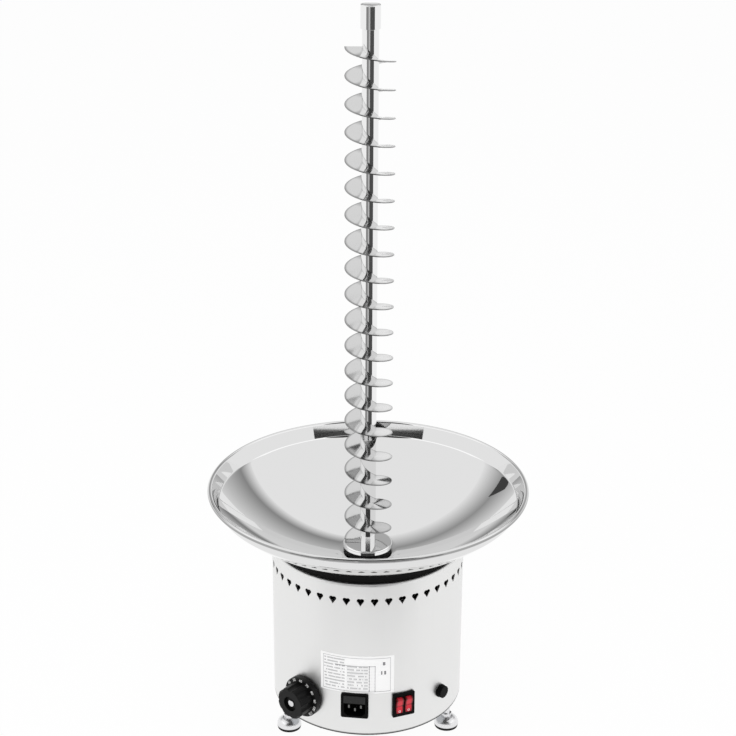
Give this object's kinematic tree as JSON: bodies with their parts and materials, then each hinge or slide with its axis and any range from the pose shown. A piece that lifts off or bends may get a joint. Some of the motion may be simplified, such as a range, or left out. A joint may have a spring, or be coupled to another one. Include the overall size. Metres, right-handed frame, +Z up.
{
  "type": "chocolate fountain",
  "caption": "Catering chocolate fountain: drum housing on levelling feet, heated dished bowl, tall helical auger on a geared drive, thermostat knob, mains inlet and rocker switch.",
  "frame": {"origin": "on the table, on the auger axis", "axes": "+Z up the auger axis, -Y towards the controls at the front, +X to the right seen from the front"},
  "size_m": [0.3726, 0.3724, 0.856],
  "materials": {
    "satin_steel": "satin brushed",
    "polished_steel": "polished",
    "bright_steel": "machined",
    "zinc_steel": "zinc plated",
    "foot_chrome": "plated",
    "black_plastic": "moulded",
    "matte_black": "moulded, matte",
    "red_plastic": "moulded, translucent red",
    "black_rubber": "moulded",
    "bronze": "sintered bronze",
    "cast_aluminium": "die cast",
    "gear_brass": "machined",
    "laminations": "varnished laminations",
    "copper": "copper",
    "phenolic": "moulded phenolic",
    "fuse_glass": "clear"
  },
  "bodies": {
    "housing": {"housing_shell": "satin_steel", "base_plate": "zinc_steel", "base_screws": "zinc_steel", "foot_nuts": "zinc_steel", "bowl_collar": "phenolic", "bowl": "polished_steel", "bowl_studs": "bright_steel", "bowl_nuts": "zinc_steel", "bowl_hub": "bronze", "hub_nut": "zinc_steel", "shaft_seal": "black_rubber", "heater_ring": "bright_steel", "thermostat_body": "phenolic", "thermostat_bulb": "copper", "thermostat_screws": "zinc_steel", "gearbox_case": "cast_aluminium", "gearbox_cover": "cast_aluminium", "gearbox_screws": "zinc_steel", "gearbox_pillars": "zinc_steel", "output_bushes": "bronze", "motor_stator": "laminations", "motor_windings": "copper", "motor_end_lower": "cast_aluminium", "motor_end_upper": "cast_aluminium", "motor_bearings": "bright_steel", "motor_bolts": "zinc_steel", "inlet_body": "black_plastic", "inlet_pins": "bright_steel", "switch_body": "black_plastic", "fuse_holder": "black_plastic", "fuse_nut": "black_plastic"},
    "drive": {"drive_shaft": "bright_steel", "output_gear": "gear_brass", "drive_pin": "bright_steel"},
    "auger": {"auger_base": "polished_steel", "auger_shaft": "polished_steel", "auger_flight": "polished_steel", "auger_collar": "polished_steel"},
    "layshaft": {"layshaft_gear": "gear_brass", "layshaft_pinion": "bright_steel"},
    "rotor": {"motor_rotor": "laminations", "motor_shaft": "bright_steel", "motor_pinion": "bright_steel"},
    "knob": {"thermostat_knob": "matte_black", "knob_dial": "matte_black", "thermostat_spindle": "bright_steel"},
    "drawer": {"fuse_drawer": "black_plastic"},
    "left_rocker": {"rocker_left": "red_plastic"},
    "right_rocker": {"rocker_right": "red_plastic"},
    "fuse": {"fuse_link": "fuse_glass"},
    "cap": {"fuse_cap": "black_plastic"},
    "foot_1": {"foot_cup_1": "foot_chrome", "foot_pad_1": "black_rubber"},
    "stud_1": {"foot_stud_1": "zinc_steel"},
    "foot_2": {"foot_cup_2": "foot_chrome", "foot_pad_2": "black_rubber"},
    "stud_2": {"foot_stud_2": "zinc_steel"},
    "foot_3": {"foot_cup_3": "foot_chrome", "foot_pad_3": "black_rubber"},
    "stud_3": {"foot_stud_3": "zinc_steel"}
  },
  "joints": [
    {"name": "drive_spin", "type": "hinge", "parent": "housing", "child": "drive", "pos_m": [0, 0, 0.206], "axis": [0, 0, 1], "continuous": true},
    {"name": "layshaft_spin", "type": "hinge", "parent": "housing", "child": "layshaft", "pos_m": [0, 0.0375, 0.156], "axis": [0, 0, 1], "continuous": true},
    {"name": "motor_spin", "type": "hinge", "parent": "housing", "child": "rotor", "pos_m": [0, 0, 0.106], "axis": [0, 0, 1], "continuous": true},
    {"name": "auger_lift", "type": "slide", "parent": "drive", "child": "auger", "axis": [0, 0, 1], "range_m": [0, 0.06]},
    {"name": "knob_turn", "type": "hinge", "parent": "housing", "child": "knob", "pos_m": [-0.07265, -0.0872, 0.07], "axis": [0.6401, 0.7683, 0], "range_deg": [0, 270]},
    {"name": "drawer_slide", "type": "slide", "parent": "housing", "child": "drawer", "axis": [-0.1253, -0.9921, 0], "range_m": [0, 0.018]},
    {"name": "left_rocker_tilt", "type": "hinge", "parent": "housing", "child": "left_rocker", "pos_m": [0.03688, -0.10728, 0.07], "axis": [-0.9285, -0.3714, 0], "range_deg": [0, 18]},
    {"name": "right_rocker_tilt", "type": "hinge", "parent": "housing", "child": "right_rocker", "pos_m": [0.04728, -0.10312, 0.07], "axis": [-0.9285, -0.3714, 0], "range_deg": [0, 18]},
    {"name": "fuse_pull", "type": "slide", "parent": "housing", "child": "fuse", "axis": [0.7615, -0.6481, 0], "range_m": [0, 0.03]},
    {"name": "cap_twist", "type": "hinge", "parent": "fuse", "child": "cap", "pos_m": [0.0872, -0.07421, 0.068], "axis": [0.7615, -0.6481, 0], "range_deg": [0, 60]},
    {"name": "foot_1_drop", "type": "slide", "parent": "housing", "child": "foot_1", "axis": [0, 0, -1], "range_m": [0, 0.008]},
    {"name": "stud_1_turn", "type": "hinge", "parent": "foot_1", "child": "stud_1", "pos_m": [-0.09307, -0.04641, 0.01], "axis": [0, 0, -1], "range_deg": [0, 2304]},
    {"name": "foot_2_drop", "type": "slide", "parent": "housing", "child": "foot_2", "axis": [0, 0, -1], "range_m": [0, 0.008]},
    {"name": "stud_2_turn", "type": "hinge", "parent": "foot_2", "child": "stud_2", "pos_m": [0.09537, -0.04147, 0.01], "axis": [0, 0, -1], "range_deg": [0, 2304]},
    {"name": "foot_3_drop", "type": "slide", "parent": "housing", "child": "foot_3", "axis": [0, 0, -1], "range_m": [0, 0.008]},
    {"name": "stud_3_turn", "type": "hinge", "parent": "foot_3", "child": "stud_3", "pos_m": [-0.00272, 0.10396, 0.01], "axis": [0, 0, -1], "range_deg": [0, 2304]}
  ],
  "couplings": [
    {"joint": "layshaft_spin", "follows": "drive_spin", "ratio": -3},
    {"joint": "motor_spin", "follows": "drive_spin", "ratio": 12},
    {"joint": "stud_1_turn", "follows": "foot_1_drop", "rad_per_m": 5026.5},
    {"joint": "stud_2_turn", "follows": "foot_2_drop", "rad_per_m": 5026.5},
    {"joint": "stud_3_turn", "follows": "foot_3_drop", "rad_per_m": 5026.5}
  ]
}
